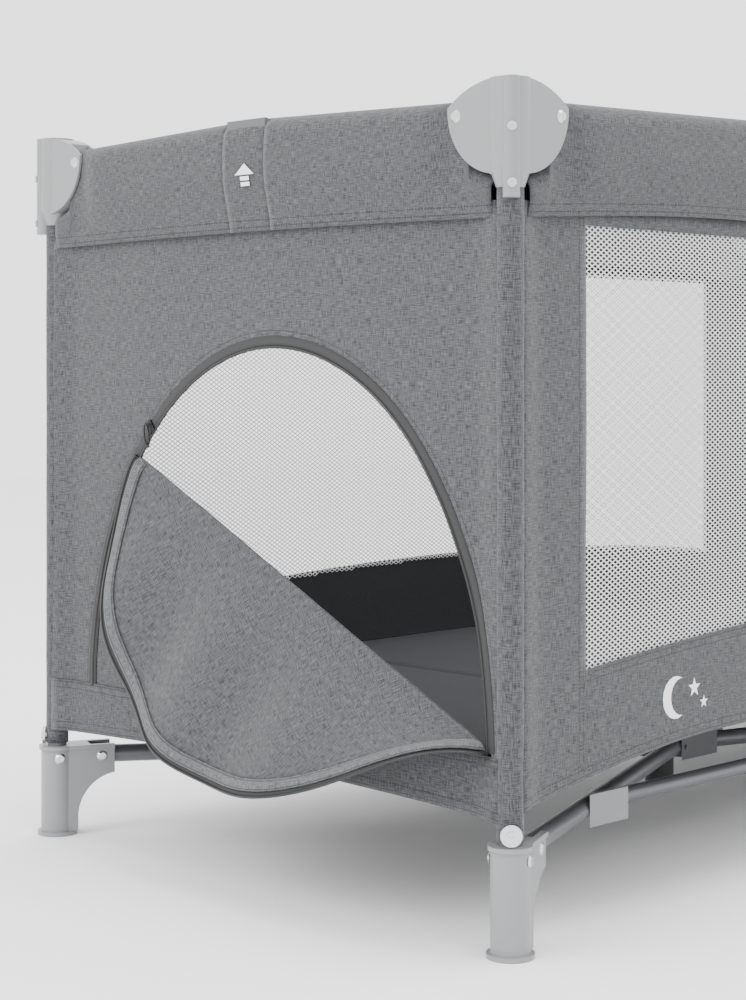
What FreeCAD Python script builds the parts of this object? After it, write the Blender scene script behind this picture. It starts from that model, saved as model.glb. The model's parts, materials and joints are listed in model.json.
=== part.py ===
import FreeCAD, Part
import os
import re
import Sketcher
from FreeCAD import Vector

# Folding travel cot. X runs along the cot, Y across it, Z up. The origin is on the floor
# under the middle. The door is in the end wall at -X. Sizes are in millimetres and degrees.
SIZES = (
    ("post_gap_long", 1210, "post axis to post axis along the cot"),
    ("post_gap_short", 620, "post axis to post axis across the cot"),
    ("post_radius", 9.5, "outside radius of a corner post tube"),
    ("post_foot", 7, "lower end of a post, inside its foot"),
    ("tube_wall", 1.2, "wall of every steel tube"),
    ("snug_gap", 0.1, "radial gap round a tube pressed into a moulding"),
    ("rest_tilt", 1.8, "over-centre angle of rails and arms when the cot is up"),
    ("cap_top", 713, "top of a corner cap above the floor"),
    ("cap_bottom", 615, "lower tip of a corner cap, the end of its rib"),
    ("cap_tip", 624, "lower end of the round column of a cap"),
    ("cap_reach", 57, "post axis to the end of a cap wing"),
    ("cap_side", 14, "rail axis to the outer face of a cap wing"),
    ("cap_round", 17, "radius of the round column of a cap"),
    ("cap_curve", 55, "radius of the curved lower edge of a wing"),
    ("cap_curve_height", 690, "height of the widest point of a wing"),
    ("cap_dome", 88, "radius of the domed upper edge of a wing"),
    ("cap_column_bottom", 640, "height where the round column starts to narrow"),
    ("cap_tip_round", 11.7, "radius of the column at its lower end"),
    ("cap_roof", 5, "plastic above a post and a rail end"),
    ("cap_rib_radius", 7, "radius of the half-round rib on the corner"),
    ("cap_rib_reach", 14, "post axis to the axis of that rib"),
    ("cheek_wall", 3, "wall of the cheek beside a rail end"),
    ("cap_screw_high", 672, "height of the upper rib screw"),
    ("cap_screw_low", 626.5, "height of the lower rib screw"),
    ("rail_radius", 9, "outside radius of a top rail tube"),
    ("rail_height", 685, "height of the rail pivots at the caps"),
    ("rail_pivot_reach", 48, "post axis to a rail pivot"),
    ("rail_end", 4.5, "tube beyond a pivot pin"),
    ("end_room", 1.2, "room beyond a swinging tube end"),
    ("side_gap", 0.7, "gap beside a tube in its cheeks"),
    ("lock_half_long", 22, "lock middle to a rail pivot, long sides"),
    ("lock_half_short", 14, "lock middle to a rail pivot, short sides"),
    ("lock_side", 14, "half width of a lock housing"),
    ("lock_floor", 2, "floor of a lock housing, under the rail ends"),
    ("lock_margin", 12, "rail pivot to the end of a lock housing"),
    ("lock_core_long", 10, "half length of the solid core of a long lock"),
    ("lock_core_short", 2.4, "half length of the solid core of a short lock"),
    ("button_radius", 5, "radius of a release button"),
    ("button_out", 6, "button below its housing"),
    ("button_travel", 4, "travel of a release button"),
    ("button_in", 4.4, "button inside its housing"),
    ("slide_gap", 0.3, "gap round a sliding piece"),
    ("pin_radius", 3, "radius of every pivot pin"),
    ("pin_gap", 0.06, "radial gap round a pivot pin"),
    ("open_pin_gap", 0.35, "radial gap round a pin that only closes the linkage"),
    ("head_radius", 5.5, "radius of a rivet head"),
    ("head_top", 3.5, "radius of the flat on a rivet head"),
    ("head_height", 2, "height of a rivet head"),
    ("screw_head", 3.8, "radius of a screw head"),
    ("screw_shank", 2, "radius of a screw shank"),
    ("screw_height", 1.6, "height of a screw head"),
    ("recess_wide", 1, "width of the cross in a screw head"),
    ("recess_long", 4.4, "length of the cross in a screw head"),
    ("recess_deep", 1, "depth of the cross in a screw head"),
    ("foot_top", 91, "top of a foot above the floor"),
    ("foot_rim", 4, "height of the thicker rim round a foot's top"),
    ("foot_rim_out", 2, "how far that rim stands out"),
    ("foot_round", 16.5, "radius of the round column of a foot"),
    ("foot_side", 14, "half width of a foot's cheeks"),
    ("foot_reach", 57, "post axis to the end of a foot's cheeks"),
    ("foot_neck", 19, "post axis to the hollow under the cheeks"),
    ("foot_curve", 44, "radius of that hollow"),
    ("foot_curve_height", 18, "height of the middle of that hollow"),
    ("foot_base_round", 20, "radius of the base plate of a foot"),
    ("foot_base_thick", 4, "thickness of that base plate"),
    ("arm_radius", 9, "outside radius of a base arm tube"),
    ("arm_height", 79, "height of the arm pivots in the feet"),
    ("arm_pivot_reach", 44, "post axis to an arm pivot"),
    ("slot_floor", 12.5, "arm pivot down to the floor of its slot"),
    ("washer_radius", 9, "radius of the plastic washer on a post"),
    ("washer_thick", 3, "thickness of that washer"),
    ("washer_height", 101, "height of that washer"),
    ("sleeve_room", 1.9, "room for the cloth under that washer"),
    ("washer_boss", 4, "radius of the boss behind that washer"),
    ("hub_margin_long", 14, "hub pivot to the hub's end, along the cot"),
    ("hub_margin_short", 12, "hub pivot to the hub's side, across the cot"),
    ("hub_half_height", 13.5, "half height of the hub"),
    ("hub_roof", 2.5, "roof over the arm ends in the hub"),
    ("hub_foot_radius", 16, "radius of the block under the hub"),
    ("hub_foot_bottom", 10, "height of the underside of that block"),
    ("knuckle_at", 200, "foot pivot to the knuckle, measured level"),
    ("knuckle_back", 24, "arm pin to the outer end of a knuckle"),
    ("knuckle_front", 11, "bar pin to the inner end of a knuckle"),
    ("knuckle_thick", 4, "thickness of a knuckle"),
    ("knuckle_down", 14, "arm pin to the underside of a knuckle"),
    ("knuckle_up", 16, "arm pin to the top of a knuckle"),
    ("knuckle_edge", 3, "radius of the upright edges of a knuckle"),
    ("pin_tail", 1.5, "pin beyond the tube it carries"),
    ("bar_radius", 7.5, "outside radius of a lengthwise bar"),
    ("bar_rise", 5, "bar pin above the arm pin of a knuckle"),
    ("bar_offset", 6.5, "bar axis outside the arm pin, across the cot"),
    ("tongue_high", 13, "height of a bar's flat end"),
    ("bar_tongue", 72, "flat end of a bar, from its last pivot to the tube"),
    ("tongue_end", 8, "flat end of a bar beyond its last pivot"),
    ("tongue_thick", 3, "thickness of a bar's flat end"),
    ("tongue_gap", 0.4, "gap between two flat ends"),
    ("cloth", 1.5, "thickness of the outer cloth"),
    ("wall_cloth", 3, "thickness of a cloth wall with its lining"),
    ("cloth_gap", 0.6, "gap between cloth and steel"),
    ("hood_bottom", 600, "lower seam of the hood over a rail"),
    ("hood_gap", 0.7, "gap between a hood and a lock housing"),
    ("window_edge", 93, "post axis to the side of a mesh window"),
    ("window_low", 223, "lower edge of a window near its ends"),
    ("window_arch", 27, "rise of that edge to the middle"),
    ("window_top_gap", 2, "hood seam to the top of a window"),
    ("hem_long", 116, "lower hem of a long wall at the posts"),
    ("hem_long_rise", 35, "rise of that hem to the middle"),
    ("hem_turn", 320, "post axis to where that hem is level"),
    ("hem_short", 108, "lower hem of a short wall at the posts"),
    ("hem_short_rise", 8, "rise of that hem to the middle"),
    ("door_middle", -26, "middle of the door across the cot"),
    ("door_half", 271, "half width of the door at its base"),
    ("door_base", 160, "height of the door's base"),
    ("door_height", 343, "height of the door above its base"),
    ("fold_left", 178, "upper end of the flap's fold, across the cot"),
    ("fold_right", -289, "lower end of the flap's fold, across the cot"),
    ("fold_low", 166, "height of the lower end of that fold"),
    ("fold_high", 396, "height of the upper end of that fold"),
    ("flap_open", 172, "angle the flap has fallen open"),
    ("flap_gap", 6, "gap between the closed flap and the door's edge"),
    ("flap_axis_out", 0.3, "wall face to the line the flap folds about"),
    ("flap_fold_gap", 0.5, "fold line to the straight edge of the flap"),
    ("slider_long", 15, "length of the zip slider"),
    ("slider_wide", 9, "width of the zip slider"),
    ("slider_thick", 4, "thickness of the zip slider"),
    ("slider_turn", 7, "angle from the fold's end to the slider"),
    ("slider_bore", 1.6, "radius of the hole in the slider's pull"),
    ("floor_height", 150, "underside of the cloth floor"),
    ("floor_thick", 2, "thickness of the cloth floor"),
    ("floor_corner", 15, "corner of the floor cut off at each post"),
    ("mattress_gap", 0.4, "cloth floor to the mattress"),
    ("mattress_thick", 11, "thickness of the mattress"),
    ("mattress_side_gap", 2, "mattress to the inner face of a cap"),
    ("seam_gap", 3, "gap between two mattress panels"),
)
ALIASES = {alias for alias, size, meaning in SIZES}

# Worked-out lengths, as expressions on the sheet
LONG_RUN = "(post_gap_long / 2 - rail_pivot_reach - lock_half_long)"
SHORT_RUN = "(post_gap_short / 2 - rail_pivot_reach - lock_half_short)"
ARM_ANGLE = f"(atan({SHORT_RUN} / {LONG_RUN}) / 1deg)"
ARM_RUN = f"({LONG_RUN} / cos({ARM_ANGLE}))"
HUB_LONG = f"(rail_pivot_reach + lock_half_long - arm_pivot_reach * cos({ARM_ANGLE}))"
HUB_SHORT = f"(rail_pivot_reach + lock_half_short - arm_pivot_reach * sin({ARM_ANGLE}))"
HUB_HEIGHT = f"(arm_height - {ARM_RUN} * tan(rest_tilt))"
KNUCKLE_HEIGHT = "(arm_height - knuckle_at * tan(rest_tilt))"
BAR_RUN = f"({LONG_RUN} - knuckle_at * cos({ARM_ANGLE}))"
TUBE_CORNER = "sqrt(rail_end * rail_end + {0} * {0})"
HALF_X = "(post_gap_long / 2)"
HALF_Y = "(post_gap_short / 2)"

doc = FreeCAD.newDocument("travel_cot")
sheet = doc.addObject("Spreadsheet::Sheet", "Sizes")
for row, (alias, size, meaning) in enumerate(SIZES, 1):
    sheet.set(f"A{row}", alias)
    sheet.set(f"B{row}", str(size))
    sheet.set(f"C{row}", meaning)
    sheet.setAlias(f"B{row}", alias)
doc.recompute()

nodes = []


def with_cells(text):
    """The same expression with each size's name pointed at its cell."""
    return re.sub(r"[a-z]\w*", lambda m: "Sizes." * (m[0] in ALIASES) + m[0], str(text))


def value(text):
    """What an expression on the sheet comes to, as a number."""
    found = sheet.evalExpression(with_cells(text))
    return float(getattr(found, "Value", found))


def bind(piece, name, text):
    piece.setExpression(name, with_cells(text))


def place(piece, x=0, y=0, z=0, yaw=0, pitch=0, roll=0):
    bind(piece, "Placement", f"placement(vector({x}; {y}; {z}); rotation({yaw}; {pitch}; {roll}))")
    return piece


def cylinder(radius, height, **where):
    piece = doc.addObject("Part::Cylinder", "round")
    bind(piece, "Radius", radius)
    bind(piece, "Height", height)
    return place(piece, **where)


def cone(radius, top_radius, height, **where):
    piece = doc.addObject("Part::Cone", "taper")
    bind(piece, "Radius1", radius)
    bind(piece, "Radius2", top_radius)
    bind(piece, "Height", height)
    return place(piece, **where)


def block(long, wide, high, x=0, y=0, z=0):
    """A box given by its size and its middle."""
    piece = doc.addObject("Part::Box", "block")
    bind(piece, "Length", long)
    bind(piece, "Width", wide)
    bind(piece, "Height", high)
    return place(piece, f"{x} - ({long}) / 2", f"{y} - ({wide}) / 2", f"{z} - ({high}) / 2")


def fuse(*pieces):
    if len(pieces) == 1:
        return pieces[0]
    joined = doc.addObject("Part::MultiFuse", "joined")
    joined.Shapes = list(pieces)
    return joined


def cut(base, *tools):
    piece = doc.addObject("Part::Cut", "cut")
    piece.Base = base
    piece.Tool = fuse(*tools)
    return piece


def common(first, second):
    piece = doc.addObject("Part::Common", "common")
    piece.Base = first
    piece.Tool = second
    return piece


def group(*pieces):
    """Separate solids kept together in one node."""
    piece = doc.addObject("Part::Compound", "group")
    piece.Links = list(pieces)
    return piece


def node(piece, name):
    piece.Label = name
    nodes.append(piece)
    return piece


def prism(loops, height, name):
    """A padded sketch whose corners are held at named distances from the sketch's origin."""
    body = doc.addObject("PartDesign::Body", name)
    sketch = body.newObject("Sketcher::SketchObject", name + "_outline")
    plane = [f for f in body.Origin.OriginFeatures if f.Role == "XY_Plane"][0]
    sketch.AttachmentSupport = (plane, [""])
    sketch.MapMode = "FlatFace"
    for loop in loops:
        first = sketch.GeometryCount
        ends = [Vector(value(x), value(y), 0) for x, y in loop]
        for here, there in zip(ends, ends[1:] + ends[:1]):
            sketch.addGeometry(Part.LineSegment(here, there))
        for corner, (x, y) in enumerate(loop):
            line = first + corner
            after = first + (corner + 1) % len(loop)
            sketch.addConstraint(Sketcher.Constraint("Coincident", line, 2, after, 1))
            for kind, axis, size in (("DistanceX", -2, x), ("DistanceY", -1, y)):
                if abs(value(size)) < 1e-6:
                    sketch.addConstraint(Sketcher.Constraint("PointOnObject", line, 1, axis))
                    continue
                held = Sketcher.Constraint(kind, -1, 1, line, 1, value(size))
                bind(sketch, f"Constraints[{sketch.addConstraint(held)}]", size)
    pad = body.newObject("PartDesign::Pad", name + "_pad")
    pad.Profile = sketch
    bind(pad, "Length", height)
    body.Tip = pad
    return body


def rounded(piece, radius, wanted):
    """The piece with the edges that wanted() picks rounded."""
    doc.recompute()
    piece_edges = piece.Shape.Edges
    size = value(radius)
    chosen = [(i, size, size) for i, edge in enumerate(piece_edges, 1) if wanted(edge)]
    if not chosen:
        raise RuntimeError("no edge to round")
    done = doc.addObject("Part::Fillet", "rounded")
    done.Base = piece
    done.Edges = chosen
    return done


def upright(edge):
    """Is this a straight edge along Z?"""
    if len(edge.Vertexes) != 2 or edge.Curve.TypeId != "Part::GeomLine":
        return False
    lower, upper = edge.Vertexes[0].Point, edge.Vertexes[1].Point
    return abs(lower.x - upper.x) + abs(lower.y - upper.y) < 1e-6


# Corners: name, side along X, side along Y, and the turn that points a cap's wings inwards
CORNERS = (
    ("front_left", -1, -1, 0),
    ("front_right", 1, -1, 90),
    ("back_right", 1, 1, 180),
    ("back_left", -1, 1, 270),
)


def arm_yaw(side_x, side_y):
    """The direction of the arm that leaves a corner, as an expression."""
    turn = -side_y * side_x
    return f"{0 if side_x < 0 else 180} + ({turn}) * (-1) * {ARM_ANGLE}"


def rail_rivet(side):
    """A rivet across a clevis of that half width, head to head, along Y."""
    pin = cylinder("pin_radius", f"2 * {side}", y=f"-{side}", roll=-90)
    near = cone("head_radius", "head_top", "head_height", y=f"-{side}", roll=90)
    far = cone("head_radius", "head_top", "head_height", y=side, roll=-90)
    return fuse(pin, near, far)


def screw(shank):
    """A cross-recessed screw, its head standing on XY and its shank going down."""
    head = cylinder("screw_head", "screw_height")
    across = block("recess_long", "recess_wide", "recess_deep * 2", z="screw_height")
    along = block("recess_wide", "recess_long", "recess_deep * 2", z="screw_height")
    return fuse(cut(head, across, along), cylinder("screw_shank", shank, z=f"-({shank})"))


# Corner posts: plain steel tubes from inside the foot to under the cap's roof
for corner, side_x, side_y, turn in CORNERS:
    length = "cap_top - cap_roof - post_foot"
    outside = cylinder("post_radius", length, z="post_foot")
    bore = cylinder("post_radius - tube_wall", length, z="post_foot")
    post = place(cut(outside, bore), f"{side_x} * {HALF_X}", f"{side_y} * {HALF_Y}")
    node(post, f"post_{corner}")

# Corner caps: one moulding with two shield-shaped wings, a round column and a rib. Each
# wing is a clevis whose slot is open below, so that its rail can swing down.
SLOT_START = "(rail_pivot_reach - " + TUBE_CORNER.format("rail_radius") + " - end_room)"
for corner, side_x, side_y, turn in CORNERS:
    tall = "(cap_top - cap_bottom)"
    middle = "(cap_top + cap_bottom) / 2"
    wing_x = block("cap_reach", "2 * cap_side", tall, "cap_reach / 2", 0, middle)
    wing_y = block("2 * cap_side", "cap_reach", tall, 0, "cap_reach / 2", middle)
    curve_x = cylinder(
        "cap_curve", "4 * cap_side", x="cap_reach - cap_curve", y="-2 * cap_side",
        z="cap_curve_height", roll=-90,
    )
    curve_y = cylinder(
        "cap_curve", "4 * cap_side", x="-2 * cap_side", y="cap_reach - cap_curve",
        z="cap_curve_height", pitch=90,
    )
    dome_x = cylinder(
        "cap_dome", "4 * cap_side", y="-2 * cap_side", z="cap_top - cap_dome", roll=-90
    )
    dome_y = cylinder(
        "cap_dome", "4 * cap_side", x="-2 * cap_side", z="cap_top - cap_dome", pitch=90
    )
    column = cylinder(
        "cap_round", "cap_top - cap_column_bottom", z="cap_column_bottom"
    )
    tip = cone("cap_tip_round", "cap_round", "cap_column_bottom - cap_tip", z="cap_tip")
    rib_at = "-cap_rib_reach * sin(45)"
    rib = cylinder("cap_rib_radius", tall, x=rib_at, y=rib_at, z="cap_bottom")
    wing_x = common(common(wing_x, curve_x), dome_x)
    wing_y = common(common(wing_y, curve_y), dome_y)
    solid = fuse(wing_x, wing_y, column, tip, rib)
    slot_long = f"(cap_reach - {SLOT_START} + 2)"
    slot_wide = "2 * (cap_side - cheek_wall)"
    slot_tall = "(cap_top - cap_roof - cap_bottom + 2)"
    slot_middle = "cap_top - cap_roof - (cap_top - cap_roof - cap_bottom + 2) / 2"
    slot_at = f"({SLOT_START} + {slot_long} / 2)"
    slot_x = block(slot_long, slot_wide, slot_tall, slot_at, 0, slot_middle)
    slot_y = block(slot_wide, slot_long, slot_tall, 0, slot_at, slot_middle)
    bore = cylinder("post_radius + snug_gap", f"{tall} - cap_roof", z="cap_bottom")
    hole_x = cylinder(
        "pin_radius + pin_gap", "4 * cap_side", x="rail_pivot_reach", y="-2 * cap_side",
        z="rail_height", roll=-90,
    )
    hole_y = cylinder(
        "pin_radius + pin_gap", "4 * cap_side", x="-2 * cap_side", y="rail_pivot_reach",
        z="rail_height", pitch=90,
    )
    screw_deep = "(cap_rib_reach + cap_rib_radius - post_radius)"
    screw_holes = [
        cylinder(
            "screw_shank + pin_gap", "2 * " + screw_deep, z=height, yaw=-135, pitch=90
        )
        for height in ("cap_screw_high", "cap_screw_low")
    ]
    cap = cut(solid, slot_x, slot_y, bore, hole_x, hole_y, *screw_holes)
    place(cap, f"{side_x} * {HALF_X}", f"{side_y} * {HALF_Y}", 0, turn)
    node(cap, f"cap_{corner}")

# Feet: a round column with a pair of cheeks for the arm, hollowed below, on a base plate
for corner, side_x, side_y, turn in CORNERS:
    column = cylinder("foot_round", "foot_top")
    cheeks = block(
        "foot_reach", "2 * foot_side", "foot_top - foot_base_thick", "foot_reach / 2", 0,
        "(foot_top + foot_base_thick) / 2",
    )
    hollow = cylinder(
        "foot_curve", "4 * foot_side", x="foot_neck + foot_curve", y="-2 * foot_side",
        z="foot_curve_height", roll=-90,
    )
    below = block(
        "foot_curve", "4 * foot_side", "2 * foot_curve_height", "foot_neck + foot_curve / 2"
    )
    rim_column = cylinder("foot_round + foot_rim_out", "foot_rim", z="foot_top - foot_rim")
    rim_cheeks = block(
        "foot_reach", "2 * (foot_side + foot_rim_out)", "foot_rim", "foot_reach / 2", 0,
        "foot_top - foot_rim / 2",
    )
    base = cylinder("foot_base_round", "foot_base_thick")
    slot_start = "(arm_pivot_reach - " + TUBE_CORNER.format("arm_radius") + " - end_room)"
    slot_long = f"(foot_reach - {slot_start} + 2)"
    slot_tall = "(foot_top - arm_height + slot_floor + 2)"
    slot = block(
        slot_long, "2 * (arm_radius + side_gap)", slot_tall, f"{slot_start} + {slot_long} / 2",
        0, f"arm_height - slot_floor + {slot_tall} / 2",
    )
    bore = cylinder("post_radius + snug_gap", "foot_top", z="post_foot")
    hole = cylinder(
        "pin_radius + pin_gap", "4 * foot_side", x="arm_pivot_reach", y="-2 * foot_side",
        z="arm_height", roll=-90,
    )
    stud_hole = cylinder(
        "pin_radius + pin_gap", "4 * foot_side", y="-2 * foot_side", z="arm_height", roll=-90
    )
    body = fuse(cut(cheeks, hollow, below), column, rim_column, rim_cheeks, base)
    foot = cut(body, slot, bore, hole, stud_hole)
    place(foot, f"{side_x} * {HALF_X}", f"{side_y} * {HALF_Y}", 0, arm_yaw(side_x, side_y))
    node(foot, f"foot_{corner}")

# Fasteners of each corner: two rail rivets, two rib screws, the arm pin, two studs that
# hold the post in its foot, and the washer that holds the cloth to the post, with its screw
for corner, side_x, side_y, turn in CORNERS:
    rivet_x = place(rail_rivet("cap_side"), "rail_pivot_reach", 0, "rail_height")
    rivet_y = place(rail_rivet("cap_side"), 0, "rail_pivot_reach", "rail_height", 90)
    rib_face = "-(cap_rib_reach + cap_rib_radius) * sin(45)"
    rib_shank = "(cap_rib_reach + cap_rib_radius - post_radius - 2 * snug_gap)"
    rib_screws = [
        place(screw(rib_shank), rib_face, rib_face, height, -135, 90)
        for height in ("cap_screw_high", "cap_screw_low")
    ]
    washer_face = "(post_radius + sleeve_room)"
    washer = cut(
        fuse(
            cylinder("washer_radius", "washer_thick", z=washer_face),
            cylinder("washer_boss", "sleeve_room", z="post_radius + snug_gap"),
        ),
        cylinder("screw_shank + pin_gap", "washer_radius", z="post_radius"),
    )
    washer_screw = place(screw("washer_thick + sleeve_room"), 0, 0, f"{washer_face} + washer_thick")
    washers = [
        place(group(washer, washer_screw), 0, 0, "washer_height", -135, 90),
    ]
    top = place(
        group(rivet_x, rivet_y, *rib_screws, *washers),
        f"{side_x} * {HALF_X}", f"{side_y} * {HALF_Y}", 0, turn,
    )
    arm_pin = place(rail_rivet("foot_side"), "arm_pivot_reach", 0, "arm_height")
    stud_long = "(foot_round - post_radius - snug_gap)"
    studs = [
        fuse(
            cylinder("pin_radius", stud_long, y=f"{side} * foot_round", z="arm_height",
                     roll=f"{side} * 90"),
            cone("head_radius", "head_top", "head_height", y=f"{side} * foot_round",
                 z="arm_height", roll=f"{-side} * 90"),
        )
        for side in (-1, 1)
    ]
    bottom = place(
        group(arm_pin, *studs),
        f"{side_x} * {HALF_X}", f"{side_y} * {HALF_Y}", 0, arm_yaw(side_x, side_y),
    )
    node(group(top, bottom), f"fasteners_{corner}")


def pinned_tube(radius, long, gap_at_start, gap_at_end, *more_holes):
    """A tube along X from a pin at the origin to a pin at its far end, each with its gap."""
    outside = cylinder(radius, f"{long} + 2 * rail_end", x="-rail_end", pitch=90)
    bore = cylinder(f"{radius} - tube_wall", f"{long} + 4 * rail_end", x="-2 * rail_end", pitch=90)
    holes = [
        cylinder(f"pin_radius + {gap}", f"4 * {radius}", x=at, y=f"-2 * {radius}", roll=-90)
        for at, gap in ((0, gap_at_start), (long, gap_at_end), *more_holes)
    ]
    return cut(outside, bore, *holes)


# Top rails: each side has two half rails that slope up to a lock in the middle. Sides:
# name, run of a half, lock half, lock place, direction, and the halves with their corners.
SIDES = (
    ("front", LONG_RUN, "long", 0, -1, 0, (("left", -1, -1, 0), ("right", 1, -1, 180))),
    ("back", LONG_RUN, "long", 0, 1, 0, (("left", -1, 1, 0), ("right", 1, 1, 180))),
    ("left", SHORT_RUN, "short", -1, 0, 90, (("front", -1, -1, 90), ("back", -1, 1, -90))),
    ("right", SHORT_RUN, "short", 1, 0, 90, (("front", 1, -1, 90), ("back", 1, 1, -90))),
)
for side, run, kind, lock_x, lock_y, lock_yaw, halves in SIDES:
    for half, side_x, side_y, yaw in halves:
        lock_gap = "pin_gap" if half in ("left", "front") else "open_pin_gap"
        rail = pinned_tube("rail_radius", f"{run} / cos(rest_tilt)", "pin_gap", lock_gap)
        place(
            rail,
            f"{side_x} * {HALF_X} + rail_pivot_reach * cos({yaw})",
            f"{side_y} * {HALF_Y} + rail_pivot_reach * sin({yaw})",
            "rail_height", yaw, "-rest_tilt",
        )
        node(rail, f"rail_{side}_{half}")

    # Lock housing: a block with a floor, open above between the half rails, whose outer
    # ends rise from it as the cot folds. Their pins are moulded in.
    lock_half = f"lock_half_{kind}"
    slot_low = "(" + TUBE_CORNER.format("rail_radius") + " + slide_gap)"
    low = f"({slot_low} + lock_floor)"
    long = f"2 * ({lock_half} + lock_margin)"
    housing = block(long, "2 * lock_side", f"2 * {low}")
    slots = []
    pins = []
    for end in (-1, 1):
        slot_long = f"({lock_half} + lock_margin - lock_core_{kind} + 1)"
        slots.append(
            block(
                slot_long, "2 * (rail_radius + side_gap)", f"{low} + {slot_low} + 1",
                f"{end} * (lock_core_{kind} + {slot_long} / 2)", 0,
                f"({low} - {slot_low} + 1) / 2",
            )
        )
        pins.append(
            cylinder("pin_radius", "2 * lock_side", x=f"{end} * {lock_half}", y="-lock_side", roll=-90)
        )
    well = cylinder(
        "button_radius + slide_gap", "button_in + button_travel + 2 * slide_gap",
        z=f"-{low}",
    )
    lock = fuse(cut(housing, *slots, well), *pins)
    lock_z = f"rail_height + {run} * tan(rest_tilt)"
    middle_x = f"{lock_x} * {HALF_X}"
    middle_y = f"{lock_y} * {HALF_Y}"
    place(lock, middle_x, middle_y, lock_z, lock_yaw)
    node(lock, f"lock_{side}")
    button_low = f"-{low} - button_out"
    button = rounded(
        cylinder("button_radius", "button_in + button_out", z=button_low),
        "button_out / 4",
        lambda e: e.BoundBox.ZMax < value(button_low) + 1e-3,
    )
    place(button, middle_x, middle_y, lock_z)
    node(button, f"button_{side}")

# Base arms: a straight tube from each foot to the hub, with a hole for its knuckle's pin
for corner, side_x, side_y, turn in CORNERS:
    yaw = arm_yaw(side_x, side_y)
    knuckle_hole = ("knuckle_at / cos(rest_tilt)", "pin_gap")
    arm_long = f"{ARM_RUN} / cos(rest_tilt)"
    arm = pinned_tube("arm_radius", arm_long, "pin_gap", "pin_gap", knuckle_hole)
    place(
        arm,
        f"{side_x} * {HALF_X} + arm_pivot_reach * cos({yaw})",
        f"{side_y} * {HALF_Y} + arm_pivot_reach * sin({yaw})",
        "arm_height", yaw, "rest_tilt",
    )
    node(arm, f"arm_{corner}")

# Hub: a block with a clevis for each arm, its pins moulded in, and a block under it
housing = block(
    f"2 * ({HUB_LONG} + hub_margin_long)", f"2 * ({HUB_SHORT} + hub_margin_short)",
    "2 * hub_half_height",
)
slots = []
pins = []
for corner, side_x, side_y, turn in CORNERS:
    yaw = f"({arm_yaw(side_x, side_y)} + 180)"
    at = {"x": f"{side_x} * {HUB_LONG}", "y": f"{side_y} * {HUB_SHORT}"}
    inward = "(" + TUBE_CORNER.format("arm_radius") + " + end_room)"
    slot_tall = "(2 * hub_half_height - hub_roof + 1)"
    slot = block(
        f"6 * hub_margin_long + {inward}", "2 * (arm_radius + side_gap)", slot_tall,
        f"3 * hub_margin_long - {inward} / 2", 0, f"hub_half_height - hub_roof - {slot_tall} / 2",
    )
    slots.append(place(fuse(slot, cylinder("pin_radius", 1)), **at, yaw=yaw))
    pin = cylinder("pin_radius", "2 * foot_side", y="-foot_side", roll=-90)
    pins.append(place(fuse(pin, cylinder("pin_radius / 2", "pin_radius / 2")), **at, yaw=yaw))
hub = fuse(cut(housing, *slots), *pins)
place(hub, 0, 0, HUB_HEIGHT)
node(hub, "hub")
hub_foot = rounded(
    cylinder("hub_foot_radius", f"{HUB_HEIGHT} - hub_half_height - hub_foot_bottom",
             z="hub_foot_bottom"),
    "hub_foot_radius / 4",
    lambda e: e.BoundBox.ZMax < value("hub_foot_bottom") + 1e-3,
)
node(hub_foot, "hub_foot")

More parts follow.
